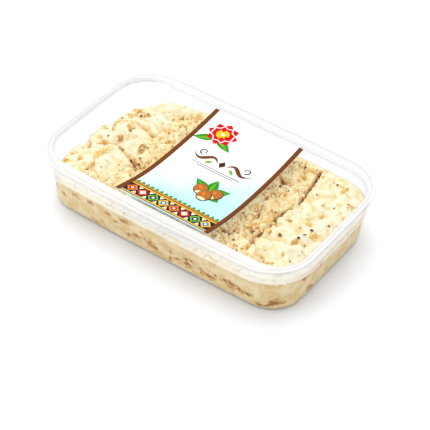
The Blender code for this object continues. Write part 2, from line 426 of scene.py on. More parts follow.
@dataclass(frozen=True)
class Patches:
    """Soft irregular patches: their width, and the noise where one begins and is full."""

    size_mm: float
    low: float
    high: float

    def share(self, draft: MaterialDraft, seam: Any = None, pull: float = 0.0) -> Any:
        """How much a place is in a patch, from 0 to 1.

        Args:
            draft: The material in the making.
            seam: An output from 0 to 1 that makes patches more common.
            pull: How strongly it does.

        Returns:
            The output with the share.
        """
        value = draft.noise(self.size_mm, 3.0, 0.55)
        if seam is not None:
            value = draft.maths("MULTIPLY_ADD", seam, pull, value)
        return draft.span(value, (self.low, self.high), smooth=True)


@dataclass(frozen=True)
class HalvaPaste:
    """Pressed sesame paste: a pale, dry, fibrous crumb, tanner where it is torn or pressed, with
    shade painted darker into its folds, hollows and cracks.
    """

    name: str = "Sesame halva paste"
    cream: str = "#F0ECCE"
    # Shade and torn shade: real random mottling, and painted shade in shallow hollows
    shade: str = "#E8D29B"
    # Fold and crevice: painted shade in folds, and painted shadow in deep hollows and cracks
    fold_shade: str = "#DDB473"
    torn: str = "#FCF0C2"
    torn_shade: str = "#F0D094"
    # Torn fold: real darker sesame grains, and painted shade in the torn folds
    torn_speck_and_fold_shade: str = "#BA884C"
    crevice: str = "#4A2208"
    pressed: str = "#E3D0A4"
    pressed_shade: str = "#D8BA80"
    nut: str = "#CAA062"
    nut_skin: str = "#9C6A32"
    fleck: Patches = Patches(4.4, 0.47, 0.66)
    speck: Patches = Patches(2.0, 0.60, 0.74)
    smear: Patches = Patches(6.5, 0.36, 0.66)
    grit: Patches = Patches(0.9, 0.66, 0.80)
    kernel: Patches = Patches(2.6, 0.60, 0.74)
    skin: Patches = Patches(2.0, 0.76, 0.90)
    pressed_in: float = 0.46
    # Where in the painted shade each darker tone begins and is full: hollow, fold, deep
    shade_reaches: Points = ((0.0, 0.35), (0.30, 0.70), (0.62, 1.0))
    crumb_mm: float = 0.9
    crumb_height: float = 0.5 * MM
    roughness: tuple[float, float] = (0.72, 0.94)

    def material(self) -> Any:
        """Builds the finish.

        Returns:
            The material. It reads the attributes "torn", "crevice", "side" and "seam".
        """
        draft = MaterialDraft(self.name)
        torn, crevice, side, seam = draft.attributes("torn", "crevice", "side", "seam")
        # Fleck: soft mottling of the top; speck: single darker sesame grains
        fleck, speck = self.fleck.share(draft), self.speck.share(draft)
        # Painted shade: crumbs keep their pale tops and are darker and browner the deeper they lie
        # in folds, hollows and cracks
        hollow, fold_shade, deep_shade = (draft.span(crevice, reach, smooth=True) for reach in self.shade_reaches)
        mottle = draft.maths("MAXIMUM", fleck, hollow)
        smooth = draft.mix(fold_shade, draft.mix(mottle, self.cream, self.shade), self.fold_shade)
        rough = draft.mix(mottle, self.torn, self.torn_shade)
        # Real darker grains, then painted shade in the folds
        for share in (speck, fold_shade):
            rough = draft.mix(share, rough, self.torn_speck_and_fold_shade)
        # Painted shadow: the darkest colour fills the deepest hollows and cracks
        top = draft.mix(deep_shade, draft.mix(torn, smooth, rough), self.crevice)
        # Sides: paste pressed flat on the wall, with nut pieces and air pockets behind it
        kernel = self.kernel.share(draft, seam, self.pressed_in)
        skin = self.skin.share(draft, seam, self.pressed_in)
        wall = draft.mix(self.smear.share(draft), self.pressed, self.pressed_shade)
        for share in (self.grit.share(draft), kernel):
            wall = draft.mix(share, wall, self.nut)
        wall = draft.mix(draft.maths("MULTIPLY", skin, kernel), wall, self.nut_skin)
        crumb = draft.noise(self.crumb_mm, 5.0, 0.65)
        draft.bump(0.5, self.crumb_height, crumb)
        return draft.finish(draft.mix(side, top, wall), draft.span(crumb, end=self.roughness), 0.2)


@dataclass(frozen=True)
class ChoppedHazelnut:
    """Chopped hazelnut: a waxy cream kernel, with papery brown skin on its round side."""

    name: str = "Chopped hazelnut"
    kernel: str = "#EFCD78"
    toasted: str = "#D29238"
    skin: str = "#A46428"
    paste: str = "#F3E4B8"
    grain_mm: float = 0.7
    grain_height: float = 0.4 * MM
    paste_mm: float = 2.0
    toast_cling: float = 0.16
    clings: tuple[float, float] = (0.60, 0.74)
    daubs: tuple[float, float] = (0.51, 0.63)
    roughness: float = 0.55
    gloss: float = 0.2

    def material(self) -> Any:
        """Builds the finish.

        Returns:
            The material. It reads the attributes "tone" and "skin".
        """
        draft = MaterialDraft(self.name)
        tone, skin = draft.attributes("tone", "skin")
        grain = draft.noise(self.grain_mm, 3.0)
        # The papery skin clings in patches, and more of it where the nut was toasted longer
        cling = draft.span(draft.maths("MULTIPLY_ADD", tone, self.toast_cling, grain), self.clings)
        colour = draft.mix(draft.maths("MULTIPLY", skin, cling),
                           draft.mix(tone, self.kernel, self.toasted), self.skin)
        # Paste sticks to it, which blurs its outline
        colour = draft.mix(draft.span(draft.noise(self.paste_mm, 4.0), self.daubs), colour,
                           self.paste)
        draft.bump(0.3, self.grain_height, grain)
        return draft.finish(colour, self.roughness, self.gloss)


@dataclass(frozen=True)
class PrintedFilm:
    """Satin printed film: white at the back, fading to pale sky blue at the front."""

    name: str = "Printed label film"
    white: str = "#FBFCFC"
    sky: str = "#B6DFF1"
    fade: tuple[float, float] = (29 * MM, -19 * MM)
    slant: float = 0.55
    cloud_mm: float = 16.0
    cloud_drift: float = 30 * MM
    fibre_mm: float = 1.4
    satin: tuple[float, float] = (0.32, 0.46)
    light: float = 0.75

    def material(self) -> Any:
        """Builds the finish.

        Returns:
            The material, which fades along Object Y, and sooner at the right.
        """
        draft = MaterialDraft(self.name)
        axes = draft.add("ShaderNodeSeparateXYZ", {"Vector": draft.place}).outputs
        cloud = draft.noise(self.cloud_mm, 2.0)
        drift = draft.maths("MULTIPLY_ADD", cloud, self.cloud_drift, axes["Y"])
        along = draft.maths("MULTIPLY_ADD", axes["X"], -self.slant, drift)
        colour = draft.mix(draft.span(along, self.fade, smooth=True), self.white, self.sky)
        draft.pass_light(self.light)
        return draft.finish(colour, draft.span(draft.noise(self.fibre_mm, 3.0), end=self.satin),
                            0.3)


@dataclass(frozen=True)
class PrintingInk:
    """A flat field of printing ink, with a faint mottle from the press."""

    ink: Ink
    mottle_mm: float = 0.8
    uneven: float = 0.25
    light: float = 0.9

    def material(self) -> Any:
        """Builds the finish.

        Returns:
            The ink's material.
        """
        draft = MaterialDraft(f"Ink {self.ink.name.lower()}")
        full = linear(self.ink.value)
        thin = tuple(min(1.0, part * (1 + self.uneven)) for part in full)
        draft.pass_light(self.light)
        return draft.finish(draft.mix(draft.noise(self.mottle_mm, 2.0), full, thin), 0.38, 0.06)




@dataclass(frozen=True)
class StudioPaper:
    """Plain white background paper."""

    name: str = "White background paper"
    colour: str = "#EFF3FA"

    def material(self) -> Any:
        """Builds the finish."""
        return MaterialDraft(self.name).finish(linear(self.colour), 0.9, 0.1)


# ---------------------------------------------------------------------------------------------
# Tub and lid


@dataclass
class ClearTub:
    """Open tub: rounded base edge, tapered wall, upright collar and a flange for the lid."""

    base: RoundedOutline = RoundedOutline(152.2 * MM, 86.2 * MM, 17.2 * MM)
    collar: RoundedOutline = RoundedOutline(159.8 * MM, 98.8 * MM, 24.5 * MM)
    collar_bottom: float = 26.2 * MM
    collar_bend: float = 0.8 * MM
    base_edge: float = 2.2 * MM
    rim_height: float = 32.5 * MM
    flange_overhang: float = 0.85 * MM
    flange_depth: float = 1.4 * MM
    wall: float = 0.8 * MM
    floor: float = 1.0 * MM
    floor_insets: tuple[float, ...] = (26.0 * MM, 12.0 * MM, 5.0 * MM)
    wall_heights: tuple[float, ...] = (5.0 * MM, 12.0 * MM, 19.0 * MM, 25.4 * MM)

    def outline(self, height: float, inset: float = 0.0) -> RoundedOutline:
        """The wall's outline at a height, set in from its outer face."""
        share = min(height / self.collar_bottom, 1.0)
        return self.base.towards(self.collar, share).inset(inset)

    def build(self, finish: ClearPolypropylene) -> Any:
        """Makes the tub as one closed shell.

        Args:
            finish: The plastic.

        Returns:
            The finished piece.
        """
        shell = Shell("tub_shell")

        def ring(height: float, inset: float, haze: Haze) -> None:
            """Adds a ring of the wall."""
            shell.add(self.outline(height, inset), height, haze)

        def rise(height: float, inset: float) -> None:
            """Adds a ring of the tapered wall, hazier at its top."""
            ring(height, inset, Haze.WALL if height < self.wall_heights[-1] else Haze.COLLAR)

        for inset in self.floor_insets:
            ring(0.0, inset, Haze.WALL)
        for step in range(9):
            angle = math.radians(90 * step / 8)
            ring(self.base_edge * (1 - math.cos(angle)), self.base_edge * (1 - math.sin(angle)),
                 Haze.FOOT if 1 < step < 6 else Haze.WALL)
        for height in self.wall_heights:
            rise(height, 0.0)
        ring(self.collar_bottom, 0.0, Haze.FOOT)
        ring(self.collar_bottom + self.collar_bend, 0.0, Haze.COLLAR)
        lip, over = self.rim_height, self.flange_overhang
        under = lip - self.flange_depth
        for height, inset in ((under - 0.3 * MM, 0.0), (under, -0.2 * MM), (under, -over),
                              (lip - over / 2, -over), (lip - 0.1 * MM, -over / 1.3),
                              (lip, -over / 2), (lip, self.wall * 0.7),
                              (lip - 0.25 * MM, self.wall)):
            ring(height, inset, Haze.FOOT)
        ring(self.collar_bottom + self.collar_bend, self.wall, Haze.COLLAR)
        ring(self.collar_bottom, self.wall, Haze.FOOT)
        for height in reversed(self.wall_heights):
            rise(height, self.wall)
        inner = self.base_edge - self.floor / 2
        for step in range(7):
            angle = math.radians(90 * step / 6)
            ring(self.floor + inner * (1 - math.sin(angle)),
                 self.wall + inner * (1 - math.cos(angle)), Haze.WALL)
        for inset in reversed(self.floor_insets):
            ring(self.floor, inset, Haze.WALL)
        piece = new_piece(shell.name, shell.mesh(), [finish.material()])
        return hand_over(piece, Node.TUB.slot, Node.TUB.node)


@dataclass
class PressFitLid:
    """Lid: stepped skirt, flat raised rim, and a panel set slightly down inside it."""

    outer: RoundedOutline = RoundedOutline(165.0 * MM, 104.0 * MM, 25.0 * MM)
    top: float = 33.5 * MM
    rim_ends: float = 4.6 * MM
    rim_sides: float = 8.0 * MM
    panel_corner: float = 16.5 * MM
    panel_shares: tuple[float, ...] = (0.06, 0.2, 0.34, 0.48, 0.62, 0.74, 0.84, 0.92, 0.97)
    recess: float = 1.3 * MM
    draft: float = 0.6 * MM
    sag: float = 1.2 * MM
    wall: float = 0.7 * MM
    skirt_wall: float = 0.8 * MM
    skirt_bottom: float = 26.6 * MM
    step_top: float = 29.3 * MM
    step_bottom: float = 28.9 * MM
    step_depth: float = 0.6 * MM
    top_edge: float = 1.2 * MM
    groove: float = 3.4 * MM
    groove_depth: float = 0.12 * MM
    bead: float = 0.6 * MM
    rib_size: tuple[float, float, float] = (0.8 * MM, 1.1 * MM, 2.6 * MM)
    rib_angles: tuple[float, float] = (-50.0, -40.5)
    rib_edge: float = 0.25 * MM

    def panel_height(self, x: float, y: float) -> float:
        """Height of the panel's upper face, which sags a little to its middle."""
        along = min(abs(x) / (self.outer.length / 2 - self.rim_ends), 1.0)
        across = min(abs(y) / (self.outer.width / 2 - self.rim_sides), 1.0)
        return self.top - self.recess - self.sag * (1 - along * along) * (1 - across * across)

    def rim_outline(self, inset: float) -> RoundedOutline:
        """The rim's inner edge, set in towards the panel."""
        return RoundedOutline(self.outer.length - 2 * (self.rim_ends + inset),
                              self.outer.width - 2 * (self.rim_sides + inset),
                              self.panel_corner - inset, self.outer.bow)

    def build(self, finish: ClearPolypropylene) -> Any:
        """Makes the lid as one closed shell, with its two grip ribs.

        Args:
            finish: The plastic.

        Returns:
            The finished piece.
        """
        shell = Shell("lid_shell")
        panel = self.rim_outline(self.draft).ring(0.0, shell.steps)
        top, foot = self.top, self.top - self.recess
        lip, step = self.skirt_bottom, self.step_depth

        def spread(share: float, drop: float, haze: Haze) -> None:
            """Adds a ring of the panel, as a share of its size, below its upper face."""
            shell.rings.append(([Vector((p.x * share, p.y * share, self.panel_height(
                p.x * share, p.y * share) - drop)) for p in panel], haze))

        def edge(height: float, inset: float, haze: Haze) -> None:
            """Adds a ring at the rim's inner edge."""
            shell.add(self.rim_outline(inset), height, haze)

        def side(height: float, inset: float, haze: Haze) -> None:
            """Adds a ring of the skirt."""
            shell.add(self.outer.inset(inset), height, haze)

        for share in self.panel_shares:
            spread(share, 0.0, Haze.CLEAR)
        spread(0.995, 0.0, Haze.FOOT)
        for height, share in ((foot + 0.12 * MM, 0.75), (foot + 0.35 * MM, 0.6),
                              (top - 0.35 * MM, 0.35), (top - 0.1 * MM, 0.1),
                              (top, -0.25), (top, -0.6)):
            edge(height, self.draft * share, Haze.BEND if height < top else Haze.RIM)
        # A shallow groove runs round the rim's top
        for away, haze in ((0.7, Haze.RIM), (0.3, Haze.CREASE), (-0.3, Haze.CREASE),
                           (-0.8, Haze.RIM)):
            drop = self.groove_depth if haze is Haze.CREASE else 0.0
            side(top - drop, self.groove + away * MM, haze)
        side(top, step + self.top_edge + 0.5 * MM, Haze.RIM)
        for turn in range(7):
            angle = math.radians(90 * turn / 6)
            side(top - self.top_edge * (1 - math.cos(angle)),
                 step + self.top_edge * (1 - math.sin(angle)),
                 Haze.BEND if 1 < turn < 5 else Haze.RIM if turn < 3 else Haze.BAND)
        for height, inset, haze in (
                (self.step_top + 0.5 * MM, step, Haze.BAND),
                (self.step_top + 0.1 * MM, step, Haze.BEND),
                (self.step_top - 0.1 * MM, step * 0.75, Haze.BEND),
                (self.step_bottom + 0.1 * MM, step * 0.2, Haze.BEND),
                (self.step_bottom - 0.1 * MM, 0.0, Haze.BAND),
                (self.step_bottom - 0.6 * MM, 0.0, Haze.SKIRT),
                (lip + 0.5 * MM, 0.0, Haze.SKIRT),
                (lip + 0.15 * MM, 0.05 * MM, Haze.BAND),
                (lip, 0.2 * MM, Haze.BAND),
                (lip, self.skirt_wall, Haze.SKIRT),
                (lip + self.bead, self.skirt_wall + self.bead, Haze.SKIRT),
                (lip + 3 * self.bead, self.skirt_wall + step / 2, Haze.SKIRT),
                (self.step_top, self.skirt_wall + step, Haze.SKIRT),
                (top - self.wall - 0.3 * MM, self.skirt_wall + step, Haze.RIM),
                (top - self.wall, self.skirt_wall + step + 0.3 * MM, Haze.RIM)):
            side(height, inset, haze)
        edge(top - self.wall, self.draft, Haze.RIM)
        edge(foot - self.wall, 2 * self.draft, Haze.FOOT)
        for share in reversed(self.panel_shares):
            spread(share, self.wall, Haze.CLEAR)
        mesh = shell.mesh()
        self.add_ribs(mesh)
        piece = new_piece(shell.name, mesh, [finish.material()])
        return hand_over(piece, Node.LID.slot, Node.LID.node)

    def add_ribs(self, mesh: Any) -> None:
        """Adds the grip ribs under the skirt at the near corner.

        Args:
            mesh: The lid's mesh, which gains the ribs.
        """
        shape = bmesh.new()
        shape.from_mesh(mesh)
        layers = [shape.verts.layers.float[name] for name in ("milk", "grey")]
        centre = Vector((self.outer.length / 2 - self.outer.corner,
                         self.outer.corner - self.outer.width / 2, 0.0))
        for degrees in self.rib_angles:
            angle = math.radians(degrees)
            place = centre + Vector((math.cos(angle), math.sin(angle), 0.0)) * self.outer.corner
            place.z = self.skirt_bottom + self.rib_size[2] / 6
            matrix = (Matrix.Translation(place) @ Matrix.Rotation(angle, 4, "Z")
                      @ Matrix.Diagonal((*self.rib_size, 1.0)))
            made = bmesh.ops.create_cube(shape, size=1.0, matrix=matrix)["verts"]
            edges = {edge for vertex in made for edge in vertex.link_edges}
            rounded = bmesh.ops.bevel(shape, geom=list(edges), offset=self.rib_edge, segments=3,
                                      profile=0.5, affect="EDGES")
            for vertex in rounded["verts"]:
                for layer, value in zip(layers, Haze.BAND.value):
                    vertex[layer] = value
        for face in shape.faces:
            face.smooth = True
        shape.to_mesh(mesh)
        shape.free()


# ---------------------------------------------------------------------------------------------
# Halva


@dataclass(frozen=True)
class Crack:
    """A crack in the top: its depth, width, jag and way in millimetres, and how much shadow is
    painted into it.
    """

    depth: float
    width: float
    jag: float
    path: Points
    dark: float = 1.0

    def distance(self, place: Vector) -> float:
        """Shortest level distance from a place to the crack, as a multiple of its width."""
        nearest = math.inf
        for start, end in zip(self.path, self.path[1:]):
            first = Vector(start) * MM
            run = Vector(end) * MM - first
            share = min(max((place - first).dot(run) / run.length_squared, 0.0), 1.0)
            nearest = min(nearest, (place - first - run * share).length)
        return nearest / (self.width * MM)


@dataclass(frozen=True)
class TornPatch:
    """A patch of the top, in millimetres, where the block was torn and stays rough."""

    middle: tuple[float, float]
    reach: tuple[float, float]
    strength: float = 1.0

    def share(self, x: float, y: float) -> float:
        """How torn the paste is at a place, from 0 to 1."""
        here = Vector((x, y, 0.7))
        wander = 4.0 * MM * noise.noise(here / (9 * MM)) + 2.4 * MM * noise.noise(here / (3 * MM))
        away = math.hypot((x + wander - self.middle[0] * MM) / (self.reach[0] * MM),
                          (y + wander - self.middle[1] * MM) / (self.reach[1] * MM))
        return self.strength * max(0.0, min(1.0, (1.35 - away) / 0.6))


@dataclass(frozen=True)
class PressedNut:
    """A nut piece pressed on the front wall."""

    x: float
    z: float
    reach: float
    brown: float

    def share(self, place: Vector) -> float:
        """How much of the piece is at a place, from 0 to past 1."""
        away = math.hypot(place.x - self.x, 1.25 * (place.z - self.z)) / self.reach
        return self.brown * max(0.0, 1.5 - 1.1 * away)


def pressed_nuts(count: int = 38, seed: int = 11) -> list[PressedNut]:
    """Nut pieces along the front wall, which sink and crowd together to the right.

    Args:
        count: How many there are.
        seed: Seed of their places and sizes.

    Returns:
        The pieces, from left to right.
    """
    chance = random.Random(seed)
    pieces = []
    for number in range(count):
        share = ((number + chance.uniform(0.0, 1.0)) / count) ** 0.72
        high = 21.0 - 12.5 * share ** 1.6
        pieces.append(PressedNut((-74.0 + 144.0 * share) * MM, chance.uniform(4.0, high) * MM,
                                 chance.uniform(1.4, 3.2 + 0.6 * share) * MM,
                                 min(1.0, chance.uniform(0.5, 0.8) + 0.35 * share ** 3)))
    return pieces


@dataclass
class HalvaFilling:
    """The halva block: pressed flat on the tub's wall, lumpy, torn and cracked on top."""

    tub: ClearTub
    columns: tuple[int, int] = (190, 316)
    side_rows: int = 24
    overlap: float = 0.15 * MM
    edge_height: float = 21.2 * MM
    crown: float = 2.2 * MM
    shoulder: float = 7.0 * MM
    corner_slump: float = 9.5 * MM
    slump_reach: float = 28.0 * MM
    end_slump: float = 4.2 * MM
    end_drop: float = 2.4 * MM
    end_start: float = 56.0 * MM
    notches: tuple[float, ...] = (-10.0 * MM, 13.0 * MM)
    notch_depth: float = 2.6 * MM
    notch_width: float = 2.8 * MM
    front: float = -30.0 * MM
    lump_sizes: tuple[float, float, float] = (9.0 * MM, 4.2 * MM, 2.0 * MM)
    cracks: tuple[Crack, ...] = (
        Crack(4.6, 0.75, 0.3, ((42.5, 44.0), (44.7, 33.0), (45.9, 24.7), (47.7, 15.0))),
        Crack(3.8, 1.0, 1.4, ((46.0, 9.0), (44.9, 3.3), (44.4, -2.4), (46.5, -6.6),
                              (44.8, -13.2), (44.5, -19.7), (45.3, -30.0))),
        Crack(2.6, 0.8, 0.5, ((25.0, 29.0), (29.5, 26.2), (37.1, 22.8))),
        Crack(2.4, 0.8, 0.7, ((23.0, -26.2), (26.9, -25.8), (32.2, -25.5))),
        Crack(1.7, 1.1, 0.6, ((-74.0, -11.0), (-61.0, -8.5), (-56.5, -8.2)), 0.6),
        Crack(2.2, 0.9, 0.5, ((-56.0, -8.0), (-51.0, -8.4)), 0.9),
        Crack(1.3, 1.5, 1.0, ((-50.5, -8.6), (-42.0, -10.0), (-36.0, -14.5)), 0.6),
        Crack(1.5, 1.1, 0.6, ((-73.0, 13.0), (-66.0, 14.5), (-54.0, 14.5), (-43.0, 12.0)), 0.55),
    )
    torn: tuple[TornPatch, ...] = (
        TornPatch((34.0, 0.0), (11.5, 90.0)),
        TornPatch((-33.0, 6.0), (10.0, 60.0)),
        TornPatch((-46.0, -37.0), (18.0, 7.0)),
        TornPatch((52.0, -34.0), (15.0, 6.0), 0.7),
    )
    nuts: list[PressedNut] = field(default_factory=pressed_nuts)

    def end_share(self, x: float) -> float:
        """How far a place lies into the sloping left end, from 0 to 1."""
        share = (-x - self.end_start) / (self.tub.collar.length / 2 - self.end_start)
        share = min(max(share, 0.0), 1.0)
        return share * share * (3 - 2 * share)

    def relief(self, x: float, y: float, inward: float) -> tuple[float, float, float]:
        """The rough top at a place.

        Args:
            x: Place along the tub.
            y: Place across the tub.
            inward: How far in from the side the place is.

        Returns:
            The height, how torn the paste is, and how deep in a crevice the place is.
        """
        rounding = min(inward / self.shoulder, 1.0)
        torn = max(patch.share(x, y) for patch in self.torn)
        here = Vector((x, y, 0.0))
        warp = noise.noise_vector(here / (6 * MM)) * (1.8 * MM)
        bent = here + Vector((warp.x, warp.y, 0.0))
        swell = noise.noise(here / (17 * MM))
        # Rounded lumps of three sizes that meet in creases
        big, mid, small = (abs(noise.noise(bent / size + Vector((0.3, 0.7, size / MM))))
                           for size in self.lump_sizes)
        height = self.edge_height + self.crown * math.sin(rounding * math.pi / 2)
        height -= self.end_drop * self.end_share(x)
        height += rounding * MM * (1.4 * swell + (3.8 - 1.0 * torn) * big
                                   + (1.7 + 3.4 * torn) * mid
                                   + (0.9 + 0.9 * torn) * small - 1.0 - 1.6 * torn)
        # Painted shade: tops stay pale; the folds between lumps, and most of all the torn hollows,
        # are painted darker where shade falls
        creases = [max(0.0, 1 - lump / width)
                   for lump, width in ((big, 0.10), (mid, 0.10), (small, 0.12))]
        low = max(0.0, 1 - (0.5 * big + 0.8 * mid + 0.4 * small) / 0.30)
        dip = max(0.0, 1 - (0.8 * big + 0.5 * mid) / 0.26)
        crevice = ((1 - torn) * (0.34 * dip * dip + 0.14 * rounding * creases[0])
                   + torn * (0.68 * low + 0.15 * creases[1] + 0.12 * creases[2]))
        jag = noise.noise_vector(here / (2.2 * MM)) * MM
        for crack in self.cracks:
            away = crack.distance(Vector((x + crack.jag * jag.x, y + crack.jag * jag.y)))
            if away < 4:
                gap = 1.0 + (0.4 + 0.7 * crack.jag) * noise.noise(here / (3.6 * MM))
                fall = math.exp(-away * away) * max(0.0, min(1.0, gap))
                height -= crack.depth * MM * fall * (0.55 + 0.45 * rounding)
                # Painted shadow along the crack
                crevice += crack.dark * fall
        return height, torn, min(crevice, 1.0)

    def slumped(self, point: Vector) -> Vector:
        """Pulls the left end and its back corner in from the tub, more the higher a place is."""
        outline = self.tub.collar
        corner = Vector((-outline.length / 2, outline.width / 2))
        away = (Vector((point.x, point.y)) - corner).length / self.slump_reach
        rise = (point.z / self.edge_height) ** 2
        pull = self.corner_slump * math.exp(-away * away) * rise
        end = self.end_share(point.x) * rise
        reach = self.end_slump + 0.9 * MM * noise.noise(point / (7 * MM))
        for notch in self.notches:
            beside = (point.y - notch) / self.notch_width
            reach += self.notch_depth * math.exp(-beside * beside)
        return Vector((point.x + 0.8 * pull + reach * end, point.y - 0.6 * pull,
                       point.z - self.end_drop * end))

    def seam(self, point: Vector) -> float:
        """Whether a nut piece is pressed on the wall here, from 0 to 1."""
        if point.y > self.front:
            here = point / (9 * MM) + Vector((4.1, 0.6, 2.3))
            return max(0.0, min(0.7, 3.4 * noise.noise(here) - 1.2))
        place = point + (noise.noise_vector(point / (5.3 * MM)) * (1.5 * MM)
                         + noise.noise_vector(point / (2.1 * MM)) * (0.9 * MM))
        return min(max(nut.share(place) for nut in self.nuts), 1.0)

    def mesh(self) -> Any:
        """Makes the block's closed mesh: a grid for the top, and rings of points down its side.

        Returns:
            The mesh, with the attributes "torn", "crevice", "side", "seam" and "top".
        """
        across, along = self.columns
        counts = (across, along) * 2
        shape = bmesh.new()
        layers = {name: shape.verts.layers.float.new(name)
                  for name in ("torn", "crevice", "side", "seam", "top")}
        floor, inset = self.tub.floor - self.overlap, self.tub.wall - self.overlap

        def border(side: int, step: int, height: float, extra: float = 0.0) -> Vector:
            """A point on the block's side at a height."""
            place = self.tub.outline(height, inset + extra).point(
                side, 2 * step / counts[side] - 1)
            return self.slumped(Vector((place.x, place.y, height)))

        def vertex(place: Vector, **values: float) -> Any:
            """Adds a vertex with its attributes."""
            made = shape.verts.new(place)
            for name, value in values.items():
                made[layers[name]] = value
            return made

        places = [(side, step) for side in range(4) for step in range(counts[side])]
        edge = {place: border(*place, self.edge_height) for place in places}

        def top_place(column: int, row: int) -> tuple[Vector, float]:
            """The level place of a grid point, and how far in from the side it is."""
            u, v = 2 * column / along - 1, 2 * row / across - 1
            size = max(abs(u), abs(v))
            if size < 1e-9:
                return Vector((0.0, 0.0, 0.0)), self.tub.collar.width / 2
            if abs(u) >= abs(v):
                side, share = (0, v / size) if u > 0 else (2, -v / size)
            else:
                side, share = (1, -u / size) if v > 0 else (3, u / size)
            step = (share + 1) / 2 * counts[side]
            low = int(min(step, counts[side] - 1e-6))
            after = (side, low + 1) if low + 1 < counts[side] else ((side + 1) % 4, 0)
            place = edge[side, low].lerp(edge[after], step - low)
            return place * size, (1 - size) * self.tub.collar.width / 2

        grid = []
        for column in range(along + 1):
            line = []
            for row in range(across + 1):
                place, inward = top_place(column, row)
                height, torn, crevice = self.relief(place.x, place.y, inward)
                line.append(vertex(Vector((place.x, place.y, height)), torn=torn,
                                   crevice=crevice, side=max(0.0, 1 - inward / (1.2 * MM)),
                                   seam=0.0, top=1.0 if inward > 2.5 * MM else 0.0))
            grid.append(line)
        for near, far in zip(grid, grid[1:]):
            for row in range(across):
                shape.faces.new((near[row], far[row], far[row + 1], near[row + 1]))
        # The top's border, anticlockwise in the same order as the sides' points
        above = grid[along][:across] + [grid[column][across] for column in range(along, 0, -1)]
        above += grid[0][across:0:-1] + [grid[column][0] for column in range(along)]
        bend = self.tub.base_edge
        levels = [(floor + (self.edge_height - floor) * (1 - row / self.side_rows), 0.0)
                  for row in range(1, self.side_rows - 1)]
        levels = [level for level in levels if level[0] > floor + bend]
        levels += [(floor + bend * (1 - math.sin(math.radians(30 * turn))),
                    bend * (1 - math.cos(math.radians(30 * turn)))) for turn in range(4)]
        for height, extra in levels:
            level = []
            for side, step in places:
                point = border(side, step, height, extra)
                # Air pockets keep the paste off the wall here and there
                pocket = noise.noise(point / (6 * MM)) + 0.5 * noise.noise(point / (2 * MM))
                hollow = max(0.0, pocket - 0.42) * 1.6
                flat = Vector((point.x, point.y, 0.0)).normalized()
                level.append(vertex(point - flat * min(hollow, 0.5) * MM, torn=0.2,
                                    crevice=min(hollow, 1.0), side=1.0, seam=self.seam(point),
                                    top=0.0))
            bridge(shape, level, above)
            above = level
        shape.faces.new(above[::-1])
        return finish_mesh(shape, "halva_paste", smooth=True)

    def build(self, finish: HalvaPaste) -> Any:
        """Makes the halva from its paste."""
        piece = new_piece("halva_paste", self.mesh(), [finish.material()])
        return hand_over(piece, Node.HALVA.slot, Node.HALVA.node)


@dataclass(frozen=True)
class Chunk:
    """A broken bit one unit across: part of a ball, cut by a few planes."""

    seed: int
    cuts: int = 5
    flatten: float = 1.0
    level: int = 2
    radius: float = 0.75
    cut_depths: tuple[float, float] = (0.12, 0.45)

    def mesh(self) -> Any:
        """Makes the bit.

        Returns:
            The mesh, with "skin" on the faces that were the ball's outside.
        """
        chance = random.Random(self.seed)
        shape = bmesh.new()
        bmesh.ops.create_icosphere(shape, subdivisions=self.level, radius=self.radius)
        skin = shape.faces.layers.float.new("skin")
        for face in shape.faces:
            face[skin] = 1.0
        for _ in range(self.cuts):
            normal = Vector([chance.gauss(0, 1) for _ in range(3)]).normalized()
            cut = bmesh.ops.bisect_plane(shape, geom=everything(shape),
                                         plane_co=normal * chance.uniform(*self.cut_depths),
                                         plane_no=normal, clear_outer=True)
            rim = [item for item in cut["geom_cut"] if isinstance(item, bmesh.types.BMEdge)]
            if len(rim) > 2:
                for face in bmesh.ops.contextual_create(shape, geom=rim)["faces"]:
                    face[skin] = 0.0
        centre = sum((v.co for v in shape.verts), Vector()) / len(shape.verts)
        size = max((v.co - centre).length for v in shape.verts)
        for vertex in shape.verts:
            vertex.co = (vertex.co - centre) / (2 * size)
            vertex.co.z *= self.flatten
        return finish_mesh(shape, f"chunk_{self.seed}")


# Where larger bits may lie on the top: its span along and across in mm, and the rest in metres
OPEN_TOP = ((-74.0, 74.0), (-40.0, 42.0))
UNDER_LABEL = (-34.0 * MM, 29.0 * MM)
EDGE_BAND = 19.5 * MM
LARGE_SPACING = 1.05


